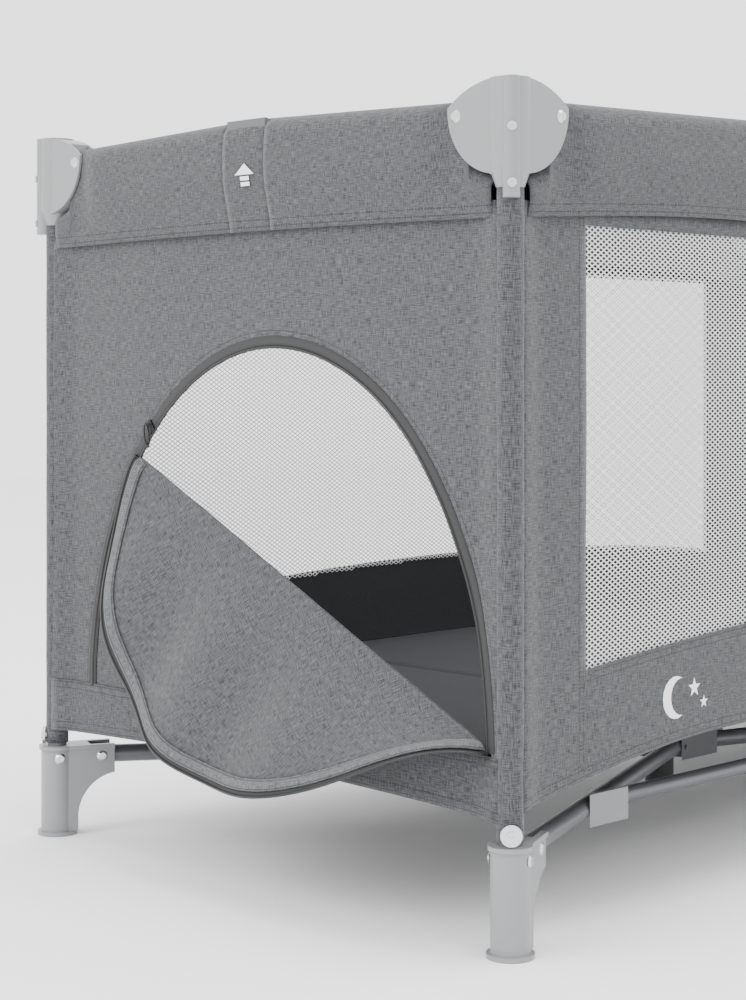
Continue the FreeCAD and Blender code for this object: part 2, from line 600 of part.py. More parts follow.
# Knuckles: a moulded link on the outer side of each arm that carries a lengthwise bar. Its
# inner face is cut back along the arm, and both pins are moulded in.
for corner, side_x, side_y, turn in CORNERS:
    yaw = arm_yaw(side_x, side_y)
    inward = -side_x
    back_face = "(bar_offset + bar_radius + side_gap)"
    long = f"(knuckle_back + {HUB_LONG} + knuckle_front)"
    plate = block(
        long, "knuckle_thick", "knuckle_up + knuckle_down",
        f"{inward} * ({HUB_LONG} + knuckle_front - knuckle_back) / 2",
        f"{side_y} * ({back_face} + knuckle_thick / 2)", "(knuckle_up - knuckle_down) / 2",
    )
    plate = rounded(
        plate,
        "knuckle_edge",
        lambda e: upright(e) and abs(e.BoundBox.YMin) > value(f"{back_face} + knuckle_thick / 2"),
    )
    swept = block(
        "3 * knuckle_back + 200", "2 * (arm_radius + side_gap)", "4 * knuckle_up"
    )
    swept = place(fuse(swept, cylinder("pin_radius", 1)), yaw=yaw)
    outward = -side_x * side_y
    arm_pin = cylinder(
        "pin_radius", f"arm_radius + pin_tail + {back_face} + knuckle_thick / 2",
        y=f"{-outward} * (arm_radius + pin_tail)", roll=-90 * outward,
    )
    arm_pin = place(fuse(arm_pin, cylinder("pin_radius / 2", "pin_radius / 2")), yaw=yaw)
    bar_pin = cylinder(
        "pin_radius", "2 * bar_radius + pin_tail + side_gap + knuckle_thick / 2",
        x=f"{inward} * {HUB_LONG}", y=f"{side_y} * (bar_offset - bar_radius - pin_tail)",
        z="bar_rise", roll=-90 * side_y,
    )
    knuckle = fuse(cut(plate, swept), arm_pin, bar_pin)
    knuckle_x = f"{side_x} * ({HALF_X} - (arm_pivot_reach + knuckle_at) * cos({ARM_ANGLE}))"
    knuckle_y = f"{side_y} * ({HALF_Y} - (arm_pivot_reach + knuckle_at) * sin({ARM_ANGLE}))"
    place(knuckle, knuckle_x, knuckle_y, KNUCKLE_HEIGHT)
    node(knuckle, f"knuckle_{corner}")

    # Bar half: a tube from the knuckle that ends in a flat tongue at the cot's middle. The
    # two tongues lie side by side, the left one on the inner side.
    tube_long = f"({BAR_RUN} - bar_tongue + rail_end)"
    outside = cylinder("bar_radius", tube_long, x="-rail_end", pitch=90)
    bore = cylinder("bar_radius - tube_wall", f"{tube_long} + 2", x="-rail_end - 1", pitch=90)
    hole = cylinder("pin_radius + pin_gap", "4 * bar_radius", y="-2 * bar_radius", roll=-90)
    tongue = block(
        "bar_tongue + tongue_end + bar_radius", "tongue_thick", "tongue_high",
        f"{BAR_RUN} - bar_tongue - bar_radius + (bar_tongue + tongue_end + bar_radius) / 2",
        "tongue_thick / 2 + tongue_gap / 2", 0,
    )
    stub = cylinder(
        "pin_radius", "tongue_thick + pin_radius", x=BAR_RUN, y="tongue_gap / 2", roll=-90
    )
    bar = fuse(cut(outside, bore, hole), tongue, stub)
    place(
        bar, f"{knuckle_x} + {inward} * {HUB_LONG}", f"{knuckle_y} + {side_y} * bar_offset",
        f"{KNUCKLE_HEIGHT} + bar_rise", 0 if inward > 0 else 180,
    )
    node(bar, f"bar_{corner}")


def wall_hood(half_run, end_margin, rise):
    """A closed cloth tube round a rail, from the lower seam to over the lock."""
    inside = "(lock_side + hood_gap)"
    top_inside = (
        f"(rail_height + {rise} + " + TUBE_CORNER.format("rail_radius")
        + " + slide_gap + lock_floor + hood_gap)"
    )
    long = f"2 * ({half_run} - {end_margin})"
    tall = f"({top_inside} + cloth - hood_bottom)"
    outer = block(long, f"2 * ({inside} + cloth)", tall, 0, 0, f"hood_bottom + {tall} / 2")
    hollow_tall = f"({top_inside} - hood_bottom - cloth)"
    inner = block(
        f"{long} + 2", f"2 * {inside}", hollow_tall, 0, 0, f"hood_bottom + cloth + {hollow_tall} / 2"
    )
    return cut(outer, inner)


def mirrored_outline(half):
    """The points of one half of an outline and their mirror images, in order."""
    return [*half, *((f"-({x})", y) for x, y in reversed(half))]


def window(gap):
    """The mesh window's outline, drawn in by a gap."""
    side = f"({HALF_X} - window_edge - {gap})"
    return [
        (f"-{side}", f"hood_bottom - window_top_gap - {gap}"),
        (f"-{side}", f"window_low + {gap}"),
        (f"-{side} * 0.5", f"window_low + window_arch * 0.75 + {gap}"),
        (f"-{side} * 0.15", f"window_low + window_arch + {gap}"),
        (f"{side} * 0.15", f"window_low + window_arch + {gap}"),
        (f"{side} * 0.5", f"window_low + window_arch * 0.75 + {gap}"),
        (side, f"window_low + {gap}"),
        (side, f"hood_bottom - window_top_gap - {gap}"),
    ]


# Long walls: cloth with a mesh window, and a hood over the rail. Drawn with X along the
# wall and Y up, then stood upright.
for side, side_y in (("front", -1), ("back", 1)):
    end = f"({HALF_X} - post_radius - cloth_gap)"
    left_half = [
        (f"-{end}", "hood_bottom"),
        (f"-{end}", "hem_long"),
        (f"-({HALF_X} - hem_turn * 0.3)", "hem_long + hem_long_rise * 0.43"),
        (f"-({HALF_X} - hem_turn * 0.8)", "hem_long + hem_long_rise * 0.95"),
        (f"-({HALF_X} - hem_turn)", "hem_long + hem_long_rise"),
    ]
    panel = prism([mirrored_outline(left_half), window("0")], "wall_cloth", f"{side}_panel")
    place(panel, 0, "wall_cloth / 2", 0, 0, 0, 90)
    hood = wall_hood(HALF_X, "(cap_reach + cloth_gap)", f"{LONG_RUN} * tan(rest_tilt)")
    wall = place(fuse(panel, hood), 0, f"{side_y} * {HALF_Y}")
    node(wall, f"wall_{side}")
    mesh = prism([window("cloth_gap")], "cloth", f"{side}_mesh")
    place(mesh, 0, f"{side_y} * {HALF_Y} + cloth / 2", 0, 0, 0, 90)
    node(mesh, f"mesh_{side}")

# Short walls: cloth all over. The left one has the arched door, open above the fold line
# of its flap.
FOLD_RISE = "(atan((fold_high - fold_low) / (fold_left - fold_right)) / 1deg)"
FOLD_LONG = "((fold_left - fold_right) / cos(" + FOLD_RISE + "))"


def door_region(inset, fold_gap, thick):
    """The part of the arched door above the fold line, drawn with X across the cot and Y up."""
    arch = doc.addObject("Part::Ellipse", "arch")
    bind(arch, "MajorRadius", f"door_height - {inset}")
    bind(arch, "MinorRadius", f"door_half - {inset}")
    place(arch, "door_middle", "door_base", 0, 90)
    filled = doc.addObject("Part::Extrusion", "arch_filled")
    filled.Base = arch
    filled.Solid = True
    filled.DirMode = "Custom"
    filled.Dir = Vector(0, 0, 1)
    bind(filled, "LengthFwd", thick)
    above = block(
        f"3 * {FOLD_LONG}", "2 * door_height", "10 * wall_cloth", 0,
        f"door_height + {fold_gap}", 0
    )
    above = place(
        fuse(above, cylinder("pin_radius", 1, y="door_height")),
        "fold_right", "fold_low", 0, FOLD_RISE,
    )
    return common(filled, above)


for side, side_x in (("left", -1), ("right", 1)):
    end = f"({HALF_Y} - post_radius - cloth_gap)"
    left_half = [
        (f"-{end}", "hood_bottom"),
        (f"-{end}", "hem_short"),
        (f"-{end} * 0.5", "hem_short + hem_short_rise"),
    ]
    panel = prism([mirrored_outline(left_half)], "wall_cloth", f"{side}_panel")
    place(panel, "-wall_cloth / 2", 0, 0, 90, 0, 90)
    hood = wall_hood(HALF_Y, "(cap_reach + cloth_gap)", f"{SHORT_RUN} * tan(rest_tilt)")
    place(hood, 0, 0, 0, 90)
    cloth = fuse(panel, hood)
    if side == "left":
        opening = door_region("0", "0", "4 * wall_cloth")
        place(opening, "-2 * wall_cloth", 0, 0, 90, 0, 90)
        cloth = cut(cloth, opening)
    node(place(cloth, f"{side_x} * {HALF_X}"), f"wall_{side}")

# Door flap: the cloth above the fold line, swung open about that line and hanging outside
flap = door_region("flap_gap", "flap_fold_gap", "cloth")
bind(
    flap,
    "Placement",
    f"placement(vector(-{HALF_X} - wall_cloth / 2; 0; 0); rotation(90; 0; 90))"
    f" * placement(vector(fold_right; fold_low; -flap_axis_out);"
    f" rotation(vector(cos({FOLD_RISE}); sin({FOLD_RISE}); 0); -flap_open))"
    " * placement(vector(-fold_right; -fold_low; flap_axis_out); rotation(0; 0; 0))",
)
node(flap, "door_flap")

# Zip slider: a flat slider with a holed pull, on the outside of the zip just above the fold
slider_slope = "(fold_high - door_base) / door_height / (fold_left - door_middle) * door_half"
slider_angle = f"(atan({slider_slope}) / 1deg)"
slider_at = f"({slider_angle} + slider_turn)"
slider_y = f"(door_middle + door_half * cos({slider_at}))"
slider_z = f"(door_base + door_height * sin({slider_at}))"
pull = cut(
    block("slider_long", "slider_wide", "slider_thick"),
    cylinder("slider_bore", "4 * slider_thick", x="slider_long / 4", z="-2 * slider_thick"),
)
slider = place(fuse(pull, cylinder("slider_wide / 2", "slider_thick / 2 + cloth_gap / 2")),
               yaw=f"{slider_at} + 90")
slider = fuse(slider, block("slider_wide / 2", "slider_wide / 2", "slider_thick"))
place(
    slider, f"-{HALF_X} - wall_cloth / 2 - cloth_gap - slider_thick / 2", slider_y, slider_z,
    90, 0, 90,
)
node(slider, "zip_slider")

# Cloth floor between the walls, and the mattress of four panels that lies on it
floor_x = f"({HALF_X} - wall_cloth / 2 - cloth_gap)"
floor_y = f"({HALF_Y} - wall_cloth / 2 - cloth_gap)"
left_half = [
    (f"-({floor_x} - floor_corner)", floor_y),
    (f"-{floor_x}", f"{floor_y} - floor_corner"),
    (f"-{floor_x}", f"-({floor_y} - floor_corner)"),
    (f"-({floor_x} - floor_corner)", f"-{floor_y}"),
]
cloth_floor = prism([mirrored_outline(left_half)], "floor_thick", "floor_sheet")
node(place(cloth_floor, 0, 0, "floor_height"), "floor")
mattress_long = f"(2 * ({HALF_X} - cap_side - mattress_side_gap))"
mattress_wide = f"(2 * ({HALF_Y} - cap_side - mattress_side_gap))"
panel_long = f"(({mattress_long} - 3 * seam_gap) / 4)"
mattress_z = "floor_height + floor_thick + mattress_gap"
for number in range(1, 5):
    start = f"-{mattress_long} / 2 + {number - 1} * ({panel_long} + seam_gap)"
    wide = f"{mattress_wide} / 2"
    corners = [
        (start, f"-{wide}"),
        (f"{start} + {panel_long}", f"-{wide}"),
        (f"{start} + {panel_long}", wide),
        (start, wide),
    ]
    panel = prism([corners], "mattress_thick", f"panel_{number}")
    node(place(panel, 0, 0, mattress_z), f"mattress_{number}")

doc.recompute()
for piece in doc.Objects:
    if "Invalid" in piece.State or "Error" in piece.State:
        raise RuntimeError(f"{piece.Label} failed: {piece.State}")
for piece in nodes:
    if piece.Shape.isNull() or not piece.Shape.isValid() or not piece.Shape.Solids:
        raise RuntimeError(f"{piece.Label} has no valid solid")
os.makedirs("parts", exist_ok=True)
for piece in nodes:
    piece.Shape.exportStep(f"parts/{piece.Label}.step")
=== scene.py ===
import json
import math

import bpy
from mathutils import Euler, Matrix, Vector, noise


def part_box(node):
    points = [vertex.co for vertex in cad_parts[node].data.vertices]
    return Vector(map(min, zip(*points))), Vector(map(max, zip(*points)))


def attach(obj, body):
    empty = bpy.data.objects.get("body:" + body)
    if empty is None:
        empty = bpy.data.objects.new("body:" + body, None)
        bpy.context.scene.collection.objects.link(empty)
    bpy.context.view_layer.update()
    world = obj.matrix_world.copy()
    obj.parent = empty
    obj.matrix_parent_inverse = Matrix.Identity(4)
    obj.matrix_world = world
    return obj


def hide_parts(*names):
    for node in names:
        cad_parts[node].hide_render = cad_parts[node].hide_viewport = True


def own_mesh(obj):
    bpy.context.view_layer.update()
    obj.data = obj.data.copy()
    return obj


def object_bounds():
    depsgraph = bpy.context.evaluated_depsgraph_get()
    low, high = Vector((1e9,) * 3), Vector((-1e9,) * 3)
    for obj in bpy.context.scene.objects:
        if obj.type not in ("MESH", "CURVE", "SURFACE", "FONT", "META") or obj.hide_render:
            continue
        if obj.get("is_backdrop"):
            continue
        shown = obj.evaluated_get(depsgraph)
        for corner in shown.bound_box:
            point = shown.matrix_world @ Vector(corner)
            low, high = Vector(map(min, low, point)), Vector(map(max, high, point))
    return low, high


# Folding travel cot, in metres: X runs along it, Y across it, Z up. The door is in the end
# wall at -X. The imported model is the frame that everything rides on.
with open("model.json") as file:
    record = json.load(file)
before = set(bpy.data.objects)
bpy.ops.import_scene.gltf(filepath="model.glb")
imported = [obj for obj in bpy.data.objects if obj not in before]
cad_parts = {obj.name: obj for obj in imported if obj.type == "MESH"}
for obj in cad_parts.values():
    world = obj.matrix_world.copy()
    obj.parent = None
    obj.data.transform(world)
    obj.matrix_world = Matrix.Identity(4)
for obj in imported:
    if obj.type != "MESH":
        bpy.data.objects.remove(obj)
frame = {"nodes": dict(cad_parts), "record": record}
frame_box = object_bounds()
nodes = frame["nodes"]

# Steel frame: rails, arms, bars and posts are drawn steel tube, powder coated grey and
# baked. The coat is even and satin, with a faint orange peel from the oven.


def linear(hex_colour):
    """A colour written in sRGB hex as the linear values a shader takes."""
    parts = [int(hex_colour[i : i + 2], 16) / 255 for i in (1, 3, 5)]
    return [c / 12.92 if c <= 0.04045 else ((c + 0.055) / 1.055) ** 2.4 for c in parts] + [1]


def add_node(material, kind, sockets=(), **settings):
    """A shader node with its settings, and its sockets set or linked."""
    tree = material.node_tree
    node = tree.nodes.new("ShaderNode" + kind)
    for name, setting in settings.items():
        setattr(node, name, setting)
    for socket, given in dict(sockets).items():
        if isinstance(given, bpy.types.NodeSocket):
            tree.links.new(given, node.inputs[socket])
        else:
            node.inputs[socket].default_value = given
    return node


def start_material(name):
    """A material with that name and nothing in it but its output."""
    material = bpy.data.materials.new(name)
    material.use_nodes = True
    material.node_tree.nodes.clear()
    return material, add_node(material, "OutputMaterial")


def finish_material(material, output, sockets):
    """Gives the material its surface shader."""
    shader = add_node(material, "BsdfPrincipled", sockets)
    material.node_tree.links.new(shader.outputs[0], output.inputs["Surface"])
    return material


def repaint(slot, material):
    """The frame's own pieces in that slot of the record get this material."""
    for subpart in frame["record"]["subparts"]:
        if subpart["material_slot"] == slot:
            nodes[subpart["node"]].data.materials.clear()
            nodes[subpart["node"]].data.materials.append(material)


EDGE_SOFTNESS = 0.0012
steel, output = start_material("powder coated steel")
place = add_node(steel, "TexCoord").outputs["Object"]
peel = add_node(steel, "TexNoise", {"Vector": place, "Scale": 700, "Detail": 2})
peel = add_node(steel, "Bump", {"Height": peel.outputs[0], "Strength": 0.08, "Distance": 0.0003})
finish_material(steel, output, {
    "Base Color": linear("#626468"), "Roughness": 0.38, "Metallic": 0.35,
    "Normal": peel.outputs[0],
})
repaint("grey_steel", steel)

# Caps, feet, washers and knuckles: moulded in light grey ABS. The moulding gives a smooth
# semi-gloss skin and small radii along every edge, drawn by the shader.
light_plastic, output = start_material("moulded light grey ABS")
edge = add_node(light_plastic, "Bevel", {"Radius": EDGE_SOFTNESS}, samples=6)
finish_material(light_plastic, output, {
    "Base Color": linear("#7f8082"), "Roughness": 0.34, "IOR": 1.53, "Coat Weight": 0.15,
    "Coat Roughness": 0.2, "Normal": edge.outputs[0],
})
repaint("light_plastic", light_plastic)

# Locks and hub: moulded in glass-filled nylon, mid grey with a fine spark-eroded grain.
nylon, output = start_material("moulded grey nylon")
place = add_node(nylon, "TexCoord").outputs["Object"]
grain = add_node(nylon, "TexNoise", {"Vector": place, "Scale": 1500, "Detail": 1})
grain = add_node(nylon, "Bump", {"Height": grain.outputs[0], "Strength": 0.2, "Distance": 0.0003})
finish_material(nylon, output, {
    "Base Color": linear("#55575a"), "Roughness": 0.6, "Normal": grain.outputs[0],
})
repaint("grey_plastic", nylon)

# Centre foot and lock buttons: moulded in black polypropylene, matt and slightly waxy.
black_plastic, output = start_material("moulded black polypropylene")
edge = add_node(black_plastic, "Bevel", {"Radius": EDGE_SOFTNESS}, samples=6)
finish_material(black_plastic, output, {
    "Base Color": linear("#1b1b1d"), "Roughness": 0.55, "Normal": edge.outputs[0],
})
repaint("black_plastic", black_plastic)

# Rivets, screws and pins: turned steel, bright zinc plated. The plating is shiny with a
# slight haze.
zinc, output = start_material("bright zinc plated steel")
finish_material(zinc, output, {
    "Base Color": linear("#c9cacc"), "Metallic": 1.0, "Roughness": 0.24,
})
repaint("zinc", zinc)

# Outer cloth: melange polyester, plain woven from light and dark yarns, so that the eye
# sees short light and dark streaks along both threads. The yarns are 0.5 mm thick, and
# the streaks are drawn 0.8 mm wide so that they show. Lockstitch follows the sewn edges.
YARN = 0.0008
SLUB = 0.009
STITCH = 0.0034
STITCH_WIDTH = 0.0005


def stitch_rows(material, rows):
    """1 on the thread of stitch rows at those distances from a sewn edge, 0 elsewhere."""
    seams = add_node(material, "UVMap", uv_map="seams").outputs[0]
    seams = add_node(material, "SeparateXYZ", {"Vector": seams}).outputs
    dash = add_node(material, "Math", {0: seams["X"], 1: 1 / STITCH}, operation="MULTIPLY")
    dash = add_node(material, "Math", {0: dash.outputs[0]}, operation="FRACT")
    dash = add_node(material, "Math", {0: dash.outputs[0], 1: 0.72}, operation="LESS_THAN")
    found = None
    for row in rows:
        off = add_node(
            material, "Math", {0: seams["Y"], 1: row, 2: STITCH_WIDTH}, operation="COMPARE"
        )
        found = off if found is None else add_node(
            material, "Math", {0: found.outputs[0], 1: off.outputs[0]}, operation="MAXIMUM"
        )
    return add_node(
        material, "Math", {0: found.outputs[0], 1: dash.outputs[0]}, operation="MULTIPLY"
    ).outputs[0]


def melange(name, dark, light, rows):
    """Woven melange cloth between two colours, with its stitch rows."""
    material, output = start_material(name)
    flat = add_node(material, "UVMap", uv_map="cloth").outputs[0]
    yarns = []
    for across, along in ((YARN, SLUB), (SLUB, YARN)):
        scaled = add_node(
            material, "VectorMath", {0: flat, 1: (1 / across, 1 / along, 1)},
            operation="MULTIPLY",
        )
        yarns.append(add_node(
            material, "TexNoise", {"Vector": scaled.outputs[0], "Scale": 1, "Detail": 1.5}
        ).outputs[0])
    both = add_node(material, "Math", {0: yarns[0], 1: yarns[1]}, operation="ADD").outputs[0]
    shade = add_node(material, "MapRange", {
        "Value": both, "From Min": 0.72, "From Max": 1.28, "To Min": 0, "To Max": 1,
    }).outputs[0]
    colour = add_node(material, "MixRGB", {
        "Fac": shade, "Color1": linear(dark), "Color2": linear(light),
    }).outputs[0]
    thread = stitch_rows(material, rows)
    colour = add_node(material, "MixRGB", {
        "Fac": thread, "Color1": colour, "Color2": linear("#2a2b2c"),
    }).outputs[0]
    height = add_node(material, "Math", {0: both, 1: thread}, operation="SUBTRACT").outputs[0]
    bump = add_node(material, "Bump", {"Height": height, "Strength": 0.35, "Distance": 0.0005})
    return finish_material(material, output, {
        "Base Color": colour, "Roughness": 0.92, "Normal": bump.outputs[0],
        "Sheen Weight": 0.15, "Specular IOR Level": 0.25,
    })


outer_cloth = melange("melange polyester", "#26272a", "#58595b", (0.003, 0.009))

# Lining, floor and mattress cover: smooth dark grey polyester taffeta, woven too finely
# to show its threads. It is matt, with a slight mottle.
lining, output = start_material("dark polyester lining")
flat = add_node(lining, "TexCoord").outputs["Object"]
mottle = add_node(lining, "TexNoise", {"Vector": flat, "Scale": 420, "Detail": 3}).outputs[0]
colour = add_node(lining, "MixRGB", {
    "Fac": mottle, "Color1": linear("#202123"), "Color2": linear("#2e2f32"),
}).outputs[0]
bump = add_node(lining, "Bump", {"Height": mottle, "Strength": 0.15, "Distance": 0.0004})
finish_material(lining, output, {
    "Base Color": colour, "Roughness": 0.9, "Normal": bump.outputs[0],
    "Specular IOR Level": 0.25,
})

# Post sleeves: the melange cloth is sewn into a tube round each post, from under the cap
# down to the washer that screws it to the steel.
HALF_LONG = 0.605
HALF_WIDE = 0.310
SLEEVE = 0.0112
SLEEVE_LOW = 0.094
SLEEVE_HIGH = 0.624
CORNERS = {
    "front_left": (-1, -1), "front_right": (1, -1),
    "back_right": (1, 1), "back_left": (-1, 1),
}


def lay_cloth(name, columns, rows, lay, keep=lambda u, v: True, turned=False):
    """A sheet of columns by rows cells. lay(u, v) gives each corner's place, its place on
    the flat cloth, and its place along and off the nearest sewn edge. A turned sheet has
    its face on the other side."""
    bpy.ops.object.select_all(action="DESELECT")
    bpy.ops.mesh.primitive_grid_add(x_subdivisions=columns, y_subdivisions=rows, size=2)
    sheet = bpy.context.object
    sheet.name = name
    mesh = sheet.data
    laid = {}
    shares = {}
    for vertex in mesh.vertices:
        shares[vertex.index] = ((vertex.co.x + 1) / 2, (vertex.co.y + 1) / 2)
        laid[vertex.index] = lay(*shares[vertex.index])
    bpy.ops.object.mode_set(mode="EDIT")
    bpy.ops.mesh.select_all(action="DESELECT")
    bpy.ops.object.mode_set(mode="OBJECT")
    for face in mesh.polygons:
        middle = [sum(shares[i][axis] for i in face.vertices) / 4 for axis in (0, 1)]
        face.select = not keep(*middle)
    mesh.uv_layers.active.name = "cloth"
    mesh.uv_layers.new(name="seams")
    for loop in mesh.loops:
        place, on_cloth, at_seam = laid[loop.vertex_index]
        mesh.uv_layers["cloth"].data[loop.index].uv = on_cloth
        mesh.uv_layers["seams"].data[loop.index].uv = at_seam
    for vertex in mesh.vertices:
        vertex.co = laid[vertex.index][0]
    bpy.ops.object.mode_set(mode="EDIT")
    bpy.ops.mesh.delete(type="FACE")
    if turned:
        bpy.ops.mesh.select_all(action="SELECT")
        bpy.ops.mesh.flip_normals()
    bpy.ops.object.mode_set(mode="OBJECT")
    mesh.polygons.foreach_set("use_smooth", [True] * len(mesh.polygons))
    return sheet


def thicken(sheet, thickness, *materials):
    """Gives a sheet its thickness, behind its face. A second material lines the back."""
    for material in materials:
        sheet.data.materials.append(material)
    bpy.context.view_layer.objects.active = sheet
    shell = sheet.modifiers.new("thickness", "SOLIDIFY")
    shell.thickness = thickness
    shell.offset = -1
    shell.material_offset = len(materials) - 1
    bpy.ops.object.modifier_apply(modifier=shell.name)
    return sheet


FAR = (0, 1)
for corner, (side_x, side_y) in CORNERS.items():
    def round_post(u, v):
        turn = 2 * math.pi * u
        z = SLEEVE_LOW + (SLEEVE_HIGH - SLEEVE_LOW) * v
        radius = SLEEVE + 0.0005 * noise.noise(Vector((3 * turn, z * 18, side_x + side_y)))
        at = (
            side_x * HALF_LONG + radius * math.cos(turn),
            side_y * HALF_WIDE + radius * math.sin(turn), z,
        )
        return at, (radius * turn, z), (z, 0.02)

    sleeve = lay_cloth(f"sleeve_{corner}", 32, 60, round_post)
    bpy.ops.object.mode_set(mode="EDIT")
    bpy.ops.mesh.select_all(action="SELECT")
    bpy.ops.mesh.remove_doubles(threshold=0.00001)
    bpy.ops.mesh.normals_make_consistent(inside=False)
    bpy.ops.object.mode_set(mode="OBJECT")
    thicken(sleeve, 0.001, outer_cloth)
    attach(sleeve, f"corner_{corner}")

# Long walls: melange cloth outside and lining inside, sewn to the sleeves, with a mesh
# window and a hem that rises to the middle. The cloth is stretched, with slight puckers.
WALL_THICK = 0.0016
WALL_TOP = 0.614
TANGENT = 0.0095
WALL_OUT = 0.0028
WINDOW_HALF = 0.512
WINDOW_LOW = 0.223
WINDOW_ARCH = 0.027
WINDOW_TOP = 0.598
HEM_RISE = 0.035
HEM_LONG = 0.116
FOLDED_LONG = 0.2205


def ease(share):
    """0 to 1 along a smooth curve, for a share that may run over either end."""
    share = min(1, max(0, share))
    return share * share * (3 - 2 * share)


def off_post(reach):
    """How far a wall's face stands out, that far from the post."""
    return TANGENT + (WALL_OUT - TANGENT) * ease((reach - 0.004) / 0.034)


def pucker(x, z, seed):
    """The small unevenness of stretched cloth."""
    broad = noise.noise(Vector((x * 9, z * 5, seed)))
    fine = noise.noise(Vector((x * 40, z * 22, seed + 7)))
    return 0.0011 * broad + 0.00035 * fine


def long_hem(x):
    return HEM_LONG + HEM_RISE * math.sin(math.pi / 2 * min(1, (HALF_LONG - abs(x)) / 0.32))


def window_sill(x):
    return WINDOW_LOW + WINDOW_ARCH * (1 - min(1, abs(x) / WINDOW_HALF) ** 2)


LONG_COLUMNS = 120
SILL_ROWS = 18
OPEN_ROWS = 34
TOP_ROWS = 2
LONG_ROWS = SILL_ROWS + OPEN_ROWS + TOP_ROWS
SIDE_SHARE = 12 / LONG_COLUMNS


def long_place(u, v):
    """Place along and up a long wall, with cells fitted to the window."""
    end = HALF_LONG - 0.004
    if u <= SIDE_SHARE:
        x = -end + (end - WINDOW_HALF) * u / SIDE_SHARE
    elif u >= 1 - SIDE_SHARE:
        x = end - (end - WINDOW_HALF) * (1 - u) / SIDE_SHARE
    else:
        x = WINDOW_HALF * (2 * (u - SIDE_SHARE) / (1 - 2 * SIDE_SHARE) - 1)
    row = v * LONG_ROWS
    if row <= SILL_ROWS:
        z = long_hem(x) + (window_sill(x) - long_hem(x)) * row / SILL_ROWS
    elif row <= SILL_ROWS + OPEN_ROWS:
        z = window_sill(x) + (WINDOW_TOP - window_sill(x)) * (row - SILL_ROWS) / OPEN_ROWS
    else:
        z = WINDOW_TOP + (WALL_TOP - WINDOW_TOP) * (row - SILL_ROWS - OPEN_ROWS) / TOP_ROWS
    return x, z


def outside_window(u, v):
    row = v * LONG_ROWS
    return not (SIDE_SHARE < u < 1 - SIDE_SHARE and SILL_ROWS < row < SILL_ROWS + OPEN_ROWS)


for side, side_y, body in (("front", -1, "corner_front_left"), ("back", 1, "corner_back_left")):
    def long_wall(u, v):
        x, z = long_place(u, v)
        reach = HALF_LONG - abs(x)
        y = side_y * (HALF_WIDE + off_post(reach) + pucker(x, z, side_y))
        beside = abs(x) - WINDOW_HALF
        above_hem = z - long_hem(x)
        below_sill = window_sill(x) - z
        if above_hem < 0.015 or abs(x) < WINDOW_HALF - 0.002 and above_hem < below_sill:
            seam = (x, above_hem)
        elif beside > -0.002:
            seam = (z, beside)
        else:
            seam = (x, below_sill)
        return (x, y, z), (x, z), (seam[0], max(0, seam[1]))

    wall = lay_cloth(
        f"{side}_wall_cloth", LONG_COLUMNS, LONG_ROWS, long_wall, outside_window, side == "back"
    )
    thicken(wall, WALL_THICK, outer_cloth, lining)
    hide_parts(f"wall_{side}")
    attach(wall, body)
    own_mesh(wall)

# Mesh windows: white warp-knitted polyester, its threads crossing on the slant round
# diamond holes. It is knitted as one sheet and sewn behind the cloth's edge.
HOLE_LONG = 0.0078
HOLE_HIGH = 0.0047
THREAD = 0.0013
MESH_HIDDEN = 0.004

white_thread, output = start_material("white knitted polyester")
finish_material(white_thread, output, {
    "Base Color": linear("#cfcfcf"), "Roughness": 0.8, "Specular IOR Level": 0.3,
})
for side, side_y, body in (("front", -1, "corner_front_left"), ("back", 1, "corner_back_left")):
    mesh_half = WINDOW_HALF + MESH_HIDDEN
    mesh_low = WINDOW_LOW - MESH_HIDDEN
    mesh_high = WINDOW_TOP + MESH_HIDDEN
    columns = round(2 * mesh_half / HOLE_LONG)
    rows = round((mesh_high - mesh_low) / HOLE_HIGH)
    bpy.ops.object.select_all(action="DESELECT")
    bpy.ops.mesh.primitive_grid_add(
        x_subdivisions=columns, y_subdivisions=rows, size=1,
        location=(0, side_y * HALF_WIDE, (mesh_low + mesh_high) / 2),
        rotation=(math.pi / 2, 0, 0),
    )
    knit = bpy.context.object
    knit.scale = (2 * mesh_half, mesh_high - mesh_low, 1)
    knit.name = f"{side}_window_mesh"
    bpy.ops.object.transform_apply(location=True, rotation=True, scale=True)
    bpy.ops.object.mode_set(mode="EDIT")
    bpy.ops.mesh.select_all(action="SELECT")
    bpy.ops.mesh.poke()
    bpy.ops.mesh.select_all(action="DESELECT")
    bpy.ops.object.mode_set(mode="OBJECT")
    data = knit.data
    for edge in data.edges:
        a, b = (data.vertices[i].co for i in edge.vertices)
        edge.select = min(abs(a.x - b.x), abs(a.z - b.z)) < 1e-5
    bpy.ops.object.mode_set(mode="EDIT")
    bpy.ops.mesh.select_mode(type="EDGE")
    bpy.ops.mesh.dissolve_edges(use_verts=False)
    bpy.ops.mesh.select_mode(type="FACE")
    bpy.ops.mesh.select_all(action="DESELECT")
    bpy.ops.object.mode_set(mode="OBJECT")
    for face in data.polygons:
        face.select = face.center.z < window_sill(face.center.x) - MESH_HIDDEN
    bpy.ops.object.mode_set(mode="EDIT")
    bpy.ops.mesh.delete(type="FACE")
    bpy.ops.mesh.select_all(action="SELECT")
    bpy.ops.mesh.inset(thickness=THREAD / 2, use_individual=True, use_boundary=True)
    bpy.ops.mesh.delete(type="FACE")
    bpy.ops.object.mode_set(mode="OBJECT")
    data.materials.append(white_thread)
    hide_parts(f"mesh_{side}")
    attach(knit, body)
    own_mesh(knit)

